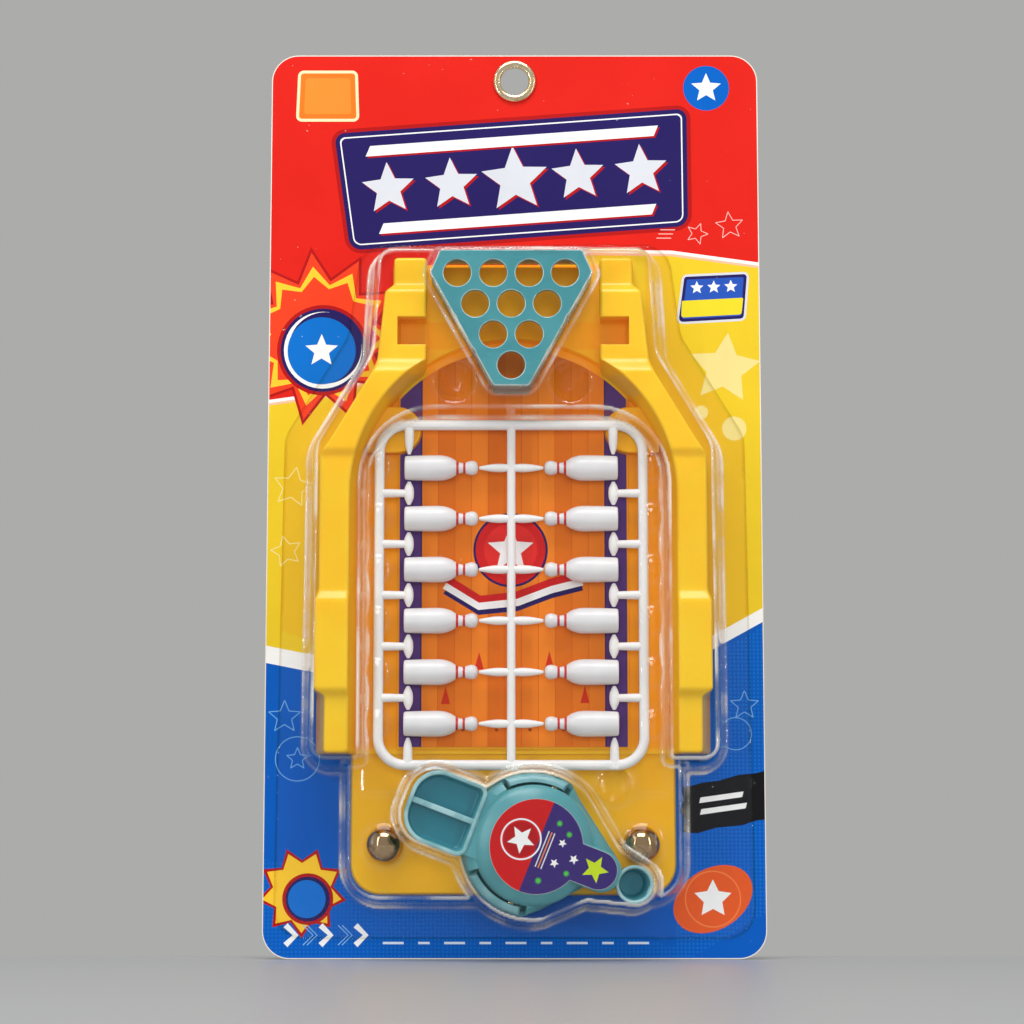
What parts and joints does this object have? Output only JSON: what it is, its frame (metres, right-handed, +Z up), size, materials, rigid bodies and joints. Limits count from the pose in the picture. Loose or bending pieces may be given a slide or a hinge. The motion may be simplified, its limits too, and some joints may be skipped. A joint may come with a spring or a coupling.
{
  "type": "tabletop bowling game in a hanging blister pack",
  "caption": "Tabletop bowling game on its hanging card: alley tray, sprue of pins, pin rack, steel balls and a rocking launcher under a clear blister",
  "frame": {"origin": "centre of the eyelet hole, on the card's back face", "axes": "+X to the viewer's right, +Z up the card, -Y out of the pack's front"},
  "size_m": [0.15, 0.0275, 0.2759],
  "materials": {
    "printed_card": "gloss-varnished print in red, yellow and blue",
    "brass": "plated, bright",
    "yellow_plastic": "moulded polystyrene, satin gloss",
    "lane_print": "coated print, orange boards with purple edges",
    "sprue_plastic": "as moulded",
    "white_plastic": "as moulded, two red neck stripes printed",
    "teal_plastic": "moulded, satin gloss",
    "steel": "polished bearing steel",
    "sticker_print": "gloss sticker, half red and half purple",
    "clear_plastic": "clear vacuum-formed sheet"
  },
  "bodies": {
    "pack": {"backing_card": "printed_card", "eyelet": "brass"},
    "cover": {"blister": "clear_plastic"},
    "alley": {"alley_tray": "yellow_plastic", "lane_sheet": "lane_print"},
    "pin_frame": {"sprue": "sprue_plastic", "pin_01": "white_plastic", "pin_02": "white_plastic", "pin_03": "white_plastic", "pin_04": "white_plastic", "pin_05": "white_plastic", "pin_06": "white_plastic", "pin_07": "white_plastic", "pin_08": "white_plastic", "pin_09": "white_plastic", "pin_10": "white_plastic", "pin_11": "white_plastic", "pin_12": "white_plastic"},
    "rack": {"pin_rack": "teal_plastic"},
    "balls": {"ball_left": "steel", "ball_right": "steel"},
    "launcher": {"launcher_base": "teal_plastic", "launcher_axle": "steel"},
    "arm": {"launcher_arm": "teal_plastic", "launcher_sticker": "sticker_print"}
  },
  "joints": [
    {"name": "cover_lift", "type": "slide", "parent": "pack", "child": "cover", "axis": [0, -1, 0], "range_m": [0, 0.06]},
    {"name": "launcher_lift", "type": "slide", "parent": "pack", "child": "launcher", "axis": [0, -1, 0], "range_m": [0, 0.045]},
    {"name": "rack_lift", "type": "slide", "parent": "pack", "child": "rack", "axis": [0, -1, 0], "range_m": [0, 0.039]},
    {"name": "frame_lift", "type": "slide", "parent": "pack", "child": "pin_frame", "axis": [0, -1, 0], "range_m": [0, 0.033]},
    {"name": "balls_lift", "type": "slide", "parent": "pack", "child": "balls", "axis": [0, -1, 0], "range_m": [0, 0.027]},
    {"name": "alley_lift", "type": "slide", "parent": "pack", "child": "alley", "axis": [0, -1, 0], "range_m": [0, 0.012]},
    {"name": "arm_rock", "type": "hinge", "parent": "launcher", "child": "arm", "pos_m": [0.0053, -0.0148, -0.234], "axis": [-0.3584, 0, -0.9336], "range_deg": [0, 20]}
  ],
  "couplings": [
    {"joint": "launcher_lift", "follows": "cover_lift", "ratio": 0.75},
    {"joint": "rack_lift", "follows": "cover_lift", "ratio": 0.65},
    {"joint": "frame_lift", "follows": "cover_lift", "ratio": 0.55},
    {"joint": "balls_lift", "follows": "cover_lift", "ratio": 0.45},
    {"joint": "alley_lift", "follows": "cover_lift", "ratio": 0.2}
  ]
}
